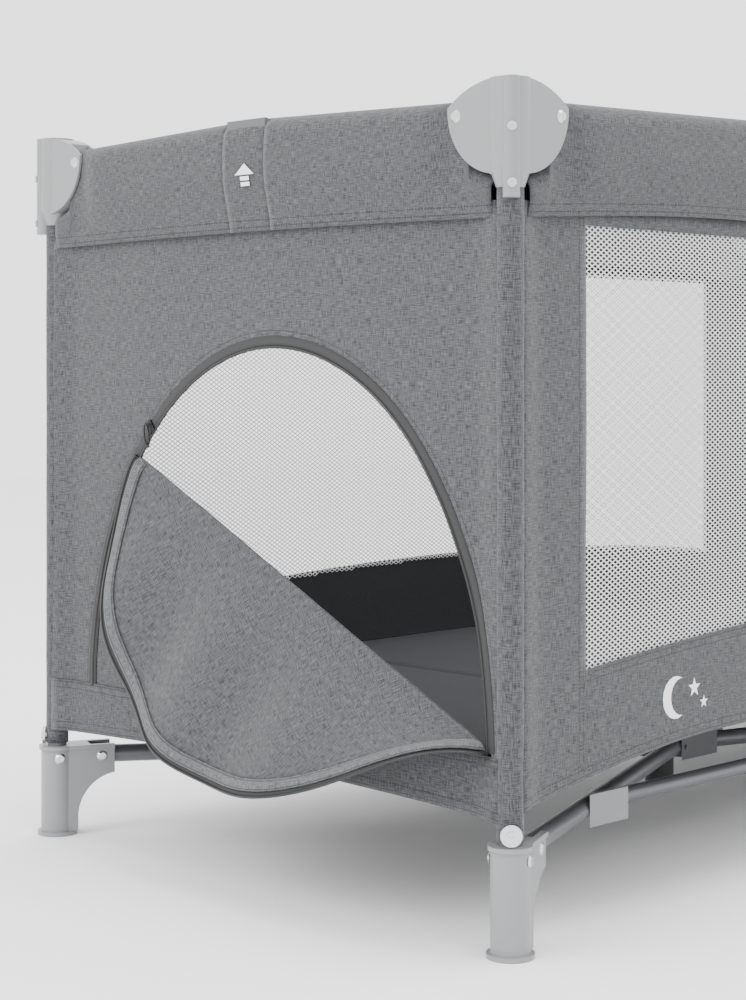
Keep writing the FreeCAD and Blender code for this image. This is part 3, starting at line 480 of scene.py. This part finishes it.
# Door wall: melange cloth with an arched door, its edge faced with zip tape. A band of
# cloth runs below the door, sewn on along a level seam.
DOOR_MIDDLE = -0.026
DOOR_HALF = 0.271
DOOR_BASE = 0.160
DOOR_HIGH = 0.343
FOLD_LOW = Vector((-0.289, 0.166))
FOLD_HIGH = Vector((0.178, 0.396))
HEM_SHORT = 0.108
HEM_SHORT_RISE = 0.008
END_Y = HALF_WIDE - 0.004


def short_hem(y):
    return HEM_SHORT + HEM_SHORT_RISE * math.cos(math.pi / 2 * abs(y) / HALF_WIDE)


def door_edge(turn, inset=0):
    """A point of the door's arch, across the cot and up, from its base at -Y over the top."""
    return Vector((
        DOOR_MIDDLE - (DOOR_HALF - inset) * math.cos(turn),
        DOOR_BASE + (DOOR_HIGH - inset) * math.sin(turn),
    ))


def on_left_wall(y, z, out=0):
    """That place on the outer face of the door wall, that far out from it."""
    stand = off_post(HALF_WIDE - abs(y)) + pucker(y, z, 11)
    return (-HALF_LONG - stand - out, y, z)


def fold_to_left(piece, *replaced):
    """A piece of the door wall folds up with it."""
    for node in replaced:
        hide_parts(node)
    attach(piece, "corner_front_left")
    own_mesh(piece)


def round_door(u, v):
    turn = math.pi * u
    inner = door_edge(turn)
    away = (inner - Vector((DOOR_MIDDLE, DOOR_BASE)))
    reaches = []
    if abs(away.x) > 1e-6:
        limit = END_Y if away.x > 0 else -END_Y
        reaches.append((limit - DOOR_MIDDLE) / away.x)
    if away.y > 1e-6:
        reaches.append((WALL_TOP - DOOR_BASE) / away.y)
    outer = Vector((DOOR_MIDDLE, DOOR_BASE)) + away * min(reaches)
    spot = inner.lerp(outer, v)
    return on_left_wall(*spot), tuple(spot), (turn * 0.45, (spot - inner).length)


surround = lay_cloth("door_surround", 120, 26, round_door, turned=True)
thicken(surround, WALL_THICK, outer_cloth, lining)
fold_to_left(surround, "wall_left")


def below_door(u, v):
    y = -END_Y + 2 * END_Y * u
    z = short_hem(y) + (DOOR_BASE + 0.001 - short_hem(y)) * v
    at = on_left_wall(y, z, 0.0008)
    low, high = z - short_hem(y), DOOR_BASE - z
    return at, (y, z), (y, max(0, min(low, high + 0.002)))


band = lay_cloth("band_below_door", 60, 8, below_door, turned=True)
thicken(band, WALL_THICK, outer_cloth, lining)
fold_to_left(band)


def fold_height(y):
    return FOLD_LOW.y + (FOLD_HIGH.y - FOLD_LOW.y) * (y - FOLD_LOW.x) / (FOLD_HIGH.x - FOLD_LOW.x)


def arch_height(y):
    share = (y - DOOR_MIDDLE) / DOOR_HALF
    return DOOR_BASE + DOOR_HIGH * math.sqrt(max(0, 1 - share * share))


def closed_door(u, v):
    y = FOLD_LOW.x + (DOOR_MIDDLE + DOOR_HALF - FOLD_LOW.x) * u
    high = max(DOOR_BASE + 0.0005, min(fold_height(y), arch_height(y)))
    z = DOOR_BASE + (high - DOOR_BASE) * v
    return on_left_wall(y, z, -0.0002), (y, z), FAR


still_zipped = lay_cloth("zipped_part_of_door", 90, 16, closed_door, turned=True)
thicken(still_zipped, 0.0010, outer_cloth)
fold_to_left(still_zipped)

# Door zip: black nylon coil on black woven tape, sewn round the door's arch. Over the open
# part only the wall's half of it is left. Below the flap's fold both halves are closed.
TAPE = 0.0055
COIL = 0.0016
TOOTH = 0.0024
ARCH_LENGTH = 0.96
FOLD_ALONG = (FOLD_HIGH - FOLD_LOW).normalized()
FOLD_UP = Vector((-FOLD_ALONG.y, FOLD_ALONG.x))
TURN_LOW = 0.012
TURN_HIGH = math.acos((DOOR_MIDDLE - FOLD_HIGH.x) / DOOR_HALF)

zip_tape, output = start_material("black woven zip tape")
place = add_node(zip_tape, "TexCoord").outputs["Object"]
ribs = add_node(zip_tape, "TexNoise", {"Vector": place, "Scale": 900, "Detail": 2}).outputs[0]
ribs = add_node(zip_tape, "Bump", {"Height": ribs, "Strength": 0.3, "Distance": 0.0003})
finish_material(zip_tape, output, {
    "Base Color": linear("#2b2b2c"), "Roughness": 0.8, "Normal": ribs.outputs[0],
})
nylon_coil, output = start_material("black nylon zip coil")
finish_material(nylon_coil, output, {"Base Color": linear("#101010"), "Roughness": 0.35})


def tape_strip(name, start, end, near, far, put):
    """A strip of zip tape along the arch, between two insets from it."""
    def lay(u, v):
        turn = start + (end - start) * u
        inset = near + (far - near) * v
        return put(door_edge(turn, inset)), (turn * 0.3, inset), FAR

    strip = lay_cloth(name, 140, 2, lay)
    thicken(strip, 0.0007, zip_tape)
    return strip


def coil_row(name, start, end, inset, put):
    """A row of coil teeth along the arch: a half-round cord with a rib for each tooth."""
    teeth = round(ARCH_LENGTH * (end - start) / math.pi / TOOTH)

    def lay(u, v):
        turn = start + (end - start) * u
        rib = 0.75 if round(u * 2 * teeth) % 2 else 1
        angle = math.pi * v
        across = inset + COIL * rib * math.cos(angle)
        return put(door_edge(turn, across), COIL * rib * math.sin(angle)), (u, v), FAR

    row = lay_cloth(name, 2 * teeth, 5, lay)
    row.data.materials.append(nylon_coil)
    return row


def on_wall(spot, lift=0):
    return on_left_wall(*spot, out=0.0007 + lift)


for piece in (
    tape_strip("wall_zip_tape", TURN_LOW, TURN_HIGH, -0.004, 2 * TAPE - 0.004, on_wall),
    tape_strip("closed_zip_tape", TURN_HIGH, math.pi, -TAPE, TAPE, on_wall),
    coil_row("wall_zip_coil", TURN_LOW, TURN_HIGH, 2 * TAPE - 0.005, on_wall),
    coil_row("closed_zip_coil", TURN_HIGH, math.pi, 0, on_wall),
):
    fold_to_left(piece)
    "black_metal" if "coil" in piece.name else "melange_cloth"

# Door flap: the part of the door above the fold, unzipped and let fall outwards over a
# slanting fold. Its weave runs with the door it was cut from, and a bound hem and the
# other half of the zip follow its edge.
FLAP_HANG = math.radians(14)
FLAP_SPRUNG = math.radians(76)
FLAP_SPRING = 0.12
FLAP_OUT = 0.066
HEM_TAPE = 0.013


def folded(spot, lift=0):
    """Where a place on the closed door goes once the flap has fallen open."""
    along = (spot - FOLD_LOW).dot(FOLD_ALONG)
    reach = max(0, (spot - FOLD_LOW).dot(FOLD_UP))
    hang = FLAP_HANG + FLAP_SPRUNG * math.exp(-max(0, along) / FLAP_SPRING)
    wave = math.sin(2 * math.pi * along / 0.14 + 0.6) * ease(reach / 0.12) * ease(along / 0.3)
    crease = 0.004 * (1 - math.exp(-reach / 0.004))
    out = crease + FLAP_OUT * math.tanh(reach * math.sin(hang) / FLAP_OUT) + 0.006 * wave
    flat = spot - FOLD_UP * (reach + reach * math.cos(hang))
    flat += FOLD_UP * lift * math.sin(hang)
    return on_left_wall(flat.x, flat.y, out + 0.001 + lift * math.cos(hang))


def flap_place(u, v):
    turn = TURN_LOW + (TURN_HIGH - TURN_LOW) * u
    edge = door_edge(turn, 0.006)
    reach = max(0, (edge - FOLD_LOW).dot(FOLD_UP))
    spot = edge - FOLD_UP * reach * (1 - v)
    return folded(spot), tuple(spot), FAR


flap = lay_cloth("flap_cloth", 110, 44, flap_place)
flap_hem = lay_cloth("flap_hem", 140, 3, lambda u, v: (
    folded(door_edge(TURN_LOW + (TURN_HIGH - TURN_LOW) * u, 0.006 + HEM_TAPE * v), 0.0012),
    (u * ARCH_LENGTH, v * HEM_TAPE), (u * ARCH_LENGTH, 0.0015 + v * HEM_TAPE * 0.8),
))
bound_hem = melange("bound melange hem", "#36373a", "#696b6d", (0.003, 0.0105))
for piece, cloth in ((flap, outer_cloth), (flap_hem, bound_hem)):
    thicken(piece, 0.0011, cloth)
    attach(piece, "door_flap_body")
    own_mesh(piece)
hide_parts("door_flap")
flap_tape = tape_strip("flap_zip_tape", TURN_LOW, TURN_HIGH, 0.0075, 0.0075 - 1.4 * TAPE, folded)
flap_coil = coil_row("flap_zip_coil", TURN_LOW, TURN_HIGH, 0.0075 - 1.4 * TAPE, folded)
for piece in (flap_tape, flap_coil):
    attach(piece, "door_flap_body")
    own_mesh(piece)

# Zip slider: die-cast zinc, lacquered black, with a flat pull that hangs from its bridge.
slider_low, slider_high = (Vector(corner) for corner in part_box("zip_slider"))
slider_at = (slider_low + slider_high) / 2
SLIDER_LONG = 0.012
SLIDER_WIDE = 0.008
PULL_LONG = 0.024
black_lacquer, output = start_material("black lacquered zinc")
finish_material(black_lacquer, output, {
    "Base Color": linear("#161616"), "Roughness": 0.3, "Metallic": 0.4,
})
repaint("black_metal", black_lacquer)
bpy.ops.object.select_all(action="DESELECT")
bpy.ops.mesh.primitive_cube_add(
    size=1, location=slider_at, rotation=(math.radians(-38), 0, 0),
    scale=(0.0042, SLIDER_WIDE, SLIDER_LONG),
)
slider = bpy.context.object
slider.name = "slider"
bpy.ops.object.transform_apply(location=True, rotation=True, scale=True)
bpy.ops.object.select_all(action="DESELECT")
bpy.ops.mesh.primitive_torus_add(
    major_radius=PULL_LONG / 4, minor_radius=0.0007, major_segments=24, minor_segments=8,
    location=slider_at + Vector((-0.0035, 0.003, -PULL_LONG / 3)),
    rotation=(0, math.radians(82), 0),
)
pull = bpy.context.object
pull.name = "pull"
bpy.ops.transform.resize(value=(1, 0.6, 1.9))
bpy.ops.object.transform_apply(location=True, rotation=True, scale=True)
slider.select_set(True)
bpy.context.view_layer.objects.active = slider
bpy.ops.object.join()
rounding = slider.modifiers.new("rounding", "BEVEL")
rounding.width = 0.0008
rounding.segments = 2
bpy.ops.object.modifier_apply(modifier=rounding.name)
slider.data.materials.append(black_lacquer)
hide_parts("zip_slider")
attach(slider, "zip_slider_body")
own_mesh(slider)

# Plain end wall at +X: melange cloth with its lining, and no door.


def plain_end(u, v):
    y = -END_Y + 2 * END_Y * u
    z = short_hem(y) + (WALL_TOP - short_hem(y)) * v
    x = HALF_LONG + off_post(HALF_WIDE - abs(y)) + pucker(y, z, 23)
    return (x, y, z), (y, z), (y, z - short_hem(y))


end_wall = lay_cloth("right_wall_cloth", 60, 50, plain_end)
thicken(end_wall, WALL_THICK, outer_cloth, lining)
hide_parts("wall_right")
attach(end_wall, "corner_front_right")
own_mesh(end_wall)

# Rail hoods: the melange cloth is folded over each top rail and its lock, and sewn shut
# below with two rows of lockstitch. It is drawn in where it passes through the caps. Each
# hood is three lengths here, one for each half of the rail and one for the lock.
HOOD_HALF = 0.0165
HOOD_NARROW = 0.0104
HOOD_FOOT = 0.0085
HOOD_LOW = 0.600
RAIL_HIGH = 0.685
PIVOT_REACH = 0.048
RAIL_SLOPE = math.tan(math.radians(1.8))
OVER_RAIL = 0.0135
SLOT_REACH = 0.0375
CAP_CURVE = 0.055
CAP_CURVE_HIGH = 0.690


def hood_place(reach, v, seam_rise, seed):
    """Off the rail's line, and up, round a hood from its outer seam over to its inner one."""
    low = HOOD_LOW + seam_rise * math.sin(math.pi / 2 * min(1, reach / 0.32))
    top = RAIL_HIGH + (reach - PIVOT_REACH) * RAIL_SLOPE + OVER_RAIL
    half = HOOD_NARROW + (HOOD_HALF - HOOD_NARROW) * ease((reach - 0.054) / 0.030)
    if reach < SLOT_REACH:
        top = CAP_CURVE_HIGH - math.sqrt(CAP_CURVE**2 - (reach - 0.002) ** 2) - 0.002
        half = 0.0115
    foot = min(HOOD_FOOT, half)
    sides = 0.42
    if v < sides or v > 1 - sides:
        share = min(v, 1 - v) / sides
        off = foot + (half - foot) * ease(share * 1.5)
        z = low + (top - half - low) * share
        off += 0.0011 * noise.noise(Vector((reach * 16, z * 22, seed))) * ease(share * 4)
        off += 0.0016 * math.sin(math.pi * share) * ease((reach - 0.06) / 0.05)
        off = off if v < 0.5 else -off
    else:
        angle = math.pi * (v - sides) / (1 - 2 * sides)
        off = half * math.cos(angle)
        z = top - half + half * math.sin(angle)
    return off, z, low


def hood_piece(name, body, start, end, half_length, seam_rise, put, seed, turned):
    """A length of hood between two places along its side, from the middle."""
    def lay(u, v):
        along = start + (end - start) * u
        off, z, low = hood_place(half_length - abs(along), v, seam_rise, seed + (along > 0))
        seam = z - low if v < 0.4 else 0.05
        return put(along, off, z), (along, 0.26 * v), (along, max(0, seam - 0.001))

    columns = max(8, round(abs(end - start) / 0.006))
    hood = lay_cloth(name, columns, 46, lay, turned=turned)
    thicken(hood, 0.0009, outer_cloth)
    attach(hood, body)


LONG_RISE = 0.013
SHORT_RISE = 0.003
LOCK_LONG = 0.036
LOCK_SHORT = 0.028
NEAR_POST = 0.0115
SIDES = {
    "front": (HALF_LONG, LONG_RISE, LOCK_LONG, ("left", "right"),
              lambda along, off, z: (along, -HALF_WIDE - off, z)),
    "back": (HALF_LONG, LONG_RISE, LOCK_LONG, ("left", "right"),
             lambda along, off, z: (along, HALF_WIDE + off, z)),
    "left": (HALF_WIDE, SHORT_RISE, LOCK_SHORT, ("front", "back"),
             lambda along, off, z: (-HALF_LONG - off, along, z)),
    "right": (HALF_WIDE, SHORT_RISE, LOCK_SHORT, ("front", "back"),
              lambda along, off, z: (HALF_LONG + off, along, z)),
}
for seed, (side, (half_length, rise, lock_half, halves, put)) in enumerate(SIDES.items()):
    end = half_length - NEAR_POST
    turned = side in ("back", "left")
    lengths = (
        (halves[0], f"rail_{side}_{halves[0]}_body", -end, -lock_half),
        ("lock", f"lock_{side}_body", -lock_half, lock_half),
        (halves[1], f"rail_{side}_{halves[1]}_body", lock_half, end),
    )
    for part, body, start, stop in lengths:
        hood_piece(
            f"hood_{side}_{part}", body, start, stop, half_length, rise, put, seed, turned
        )

# Prints: an arrow on the door end's hood and a moon with stars on the lower band of the
# long side, screen printed in white ink that lies just proud of the cloth.
INK = 0.0001
white_ink, output = start_material("white screen print ink")
finish_material(white_ink, output, {"Base Color": linear("#e8e8e8"), "Roughness": 0.55})


def printed(name, outline, put, body, keep):
    """A flat print: an outline of points on the cloth, filled and laid on it."""
    bpy.ops.object.select_all(action="DESELECT")
    bpy.ops.mesh.primitive_circle_add(vertices=len(outline), radius=0.01, fill_type="NGON")
    ink = bpy.context.object
    ink.name = name
    for vertex, spot in zip(ink.data.vertices, outline):
        vertex.co = (spot[0], spot[1], 0)
    bpy.ops.object.mode_set(mode="EDIT")
    bpy.ops.mesh.select_all(action="SELECT")
    bpy.ops.mesh.quads_convert_to_tris()
    bpy.ops.mesh.subdivide(number_cuts=2)
    bpy.ops.object.mode_set(mode="OBJECT")
    for vertex in ink.data.vertices:
        vertex.co = put(vertex.co.x, vertex.co.y)
    bpy.ops.object.mode_set(mode="EDIT")
    bpy.ops.mesh.select_all(action="SELECT")
    bpy.ops.mesh.flip_normals()
    bpy.ops.object.mode_set(mode="OBJECT")
    ink.data.materials.append(white_ink)
    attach(ink, body)
    if keep:
        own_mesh(ink)


def arrow_outline():
    """Triangle, then the two bars under it, about a middle at nothing."""
    yield [(-0.013, 0.001), (0.013, 0.001), (0, 0.011)]
    yield [(-0.006, -0.004), (0.006, -0.004), (0.006, -0.0005), (-0.006, -0.0005)]
    yield [(-0.006, -0.009), (0.006, -0.009), (0.006, -0.0055), (-0.006, -0.0055)]


ARROW_ALONG = -0.004
ARROW_HIGH = 0.652


def on_door_hood(x, y):
    reach = HALF_WIDE - abs(ARROW_ALONG)
    share = (ARROW_HIGH + y - HOOD_LOW - SHORT_RISE) / (0.685 - HOOD_LOW)
    off, z, low = hood_place(reach, 0.42 * share, SHORT_RISE, 2)
    return (-HALF_LONG - off - 0.0016, ARROW_ALONG - x, z)


for index, outline in enumerate(arrow_outline()):
    printed(f"arrow_{index + 1}", outline, on_door_hood, "lock_left_body", None)

# Moon and two stars on the lower band of the front.
MARK_ALONG = -0.387
MARK_HIGH = 0.186
MARK = 0.019


def star_outline(size, x, y):
    for point in range(10):
        reach = size if point % 2 == 0 else size * 0.42
        angle = math.pi / 2 + point * math.pi / 5
        yield (x + reach * math.cos(angle), y + reach * math.sin(angle))


def moon_outline():
    for step in range(13):
        angle = math.radians(60 + 20 * step)
        yield (MARK * math.cos(angle), MARK * math.sin(angle))
    for step in range(1, 12):
        angle = math.radians(272 - 17.6 * step)
        yield (
            MARK * (0.45 + 0.83 * math.cos(angle)), MARK * 0.87 * math.sin(angle),
        )


def on_front_band(x, y):
    along = MARK_ALONG + x
    high = MARK_HIGH + y
    out = off_post(HALF_LONG - abs(along)) + pucker(along, high, -1) + INK
    return (along, -HALF_WIDE - out - 0.0003, high)


for name, outline in (
    ("moon", list(moon_outline())),
    ("star_1", list(star_outline(0.009, 0.027, 0.006))),
    ("star_2", list(star_outline(0.006, 0.041, -0.008))),
):
    printed(
        name, outline, on_front_band, "corner_front_left",
        FOLDED_LONG,
    )

# Mattress: four boards wadded and sewn into one grey cover, which folds at the three
# seams between them. Each board is a thin crowned pad with a pinched edge.
MATTRESS_CROWN = 0.0012
PINCH = 0.010


def mattress_board(index):
    """One board, as a closed pad: top and bottom faces pinched together at the edge."""
    low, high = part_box(f"mattress_{index}")
    bpy.ops.object.select_all(action="DESELECT")
    bpy.ops.mesh.primitive_cube_add(size=2)
    board = bpy.context.object
    board.name = f"mattress_board_{index}"
    bpy.ops.object.mode_set(mode="EDIT")
    bpy.ops.mesh.select_all(action="SELECT")
    bpy.ops.mesh.subdivide(number_cuts=47)
    bpy.ops.object.mode_set(mode="OBJECT")
    middle = [(low[axis] + high[axis]) / 2 for axis in range(3)]
    half = [(high[axis] - low[axis]) / 2 for axis in range(3)]
    for vertex in board.data.vertices:
        at = [vertex.co.x * half[0], vertex.co.y * half[1]]
        edge = min(half[0] - abs(at[0]), half[1] - abs(at[1]))
        full = math.sqrt(max(0, 1 - (1 - min(1, edge / PINCH)) ** 2))
        thick = (half[2] - MATTRESS_CROWN) * (0.35 + 0.65 * full)
        crown = MATTRESS_CROWN * ease(edge / 0.08)
        ripple = 0.0008 * noise.noise(Vector((at[0] * 9 + index, at[1] * 9, 1))) * full
        rise = vertex.co.z * thick + (crown + ripple - 0.0008 if vertex.co.z > 0.9 else 0)
        vertex.co = (middle[0] + at[0], middle[1] + at[1], middle[2] + rise)
    board.data.materials.append(lining)
    bpy.ops.object.shade_smooth_by_angle(angle=math.radians(50))
    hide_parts(f"mattress_{index}")
    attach(board, f"mattress_{index}_body")


for index in (1, 2, 3, 4):
    mattress_board(index)

# Floor: a dark polyester sheet sewn to the walls' lower edges. It gathers round each arm
# as the cot folds, so it is laid here as a quarter for each arm.
FLOOR_THICK = 0.0012
FLOOR_SPLIT = 0.0015
FLOOR_INSET = 0.006
floor_low, floor_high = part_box("floor")
for corner, (side_x, side_y) in CORNERS.items():
    def quarter(u, v):
        x = side_x * (FLOOR_SPLIT + (floor_high[0] - FLOOR_INSET) * u)
        y = side_y * (FLOOR_SPLIT + (floor_high[1] - FLOOR_INSET) * v)
        return (x, y, floor_high[2]), (x, y), FAR

    panel = lay_cloth(f"floor_{corner}", 40, 22, quarter, turned=side_x * side_y < 0)
    thicken(panel, FLOOR_THICK, lining)
    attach(panel, f"arm_{corner}_body")
    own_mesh(panel)
    if corner == "front_left":
        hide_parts("floor")

# Stage: a white floor under a white world, with soft light from the left and from above.
bpy.ops.object.select_all(action="DESELECT")
bpy.ops.mesh.primitive_plane_add(size=12)
ground = bpy.context.object
ground.name = "studio_floor"
paper, output = start_material("white studio floor")
finish_material(paper, output, {"Base Color": linear("#fafafa"), "Roughness": 0.9})
ground.data.materials.append(paper)
ground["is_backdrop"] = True

world = bpy.data.worlds.new("studio")
bpy.context.scene.world = world
world.use_nodes = True
world.node_tree.nodes["Background"].inputs["Color"].default_value = (1, 1, 1, 1)
world.node_tree.nodes["Background"].inputs["Strength"].default_value = 2.4


def soft_light(name, place, aim, size, power):
    """A square soft box at that place, turned towards aim."""
    lamp = bpy.data.lights.new(name, "AREA")
    lamp.size = size
    lamp.energy = power
    box = bpy.data.objects.new(name, lamp)
    bpy.context.collection.objects.link(box)
    box.location = place
    box.rotation_euler = (Vector(aim) - Vector(place)).to_track_quat("-Z", "Y").to_euler()
    box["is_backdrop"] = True


soft_light("left_soft_box", (-3.2, 0.6, 2.2), (-0.3, 0, 0.3), 1.6, 60)
soft_light("top_soft_box", (0, -0.5, 3.2), (0, 0, 0.3), 2.4, 70)

lens = bpy.data.cameras.new("camera")
lens.lens = 73.08
lens.sensor_width = 36
lens.shift_y = -0.131
lens.clip_end = 50
camera = bpy.data.objects.new("camera", lens)
bpy.context.collection.objects.link(camera)
camera.location = (-1.8427, -1.4023, 0.477)
camera.rotation_euler = Euler((math.radians(90), 0, math.radians(-44.7)))
bpy.context.scene.camera = camera

boxes = {"frame": frame_box, "visual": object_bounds()}
{name: [list(corner) for corner in box] for name, box in boxes.items()}
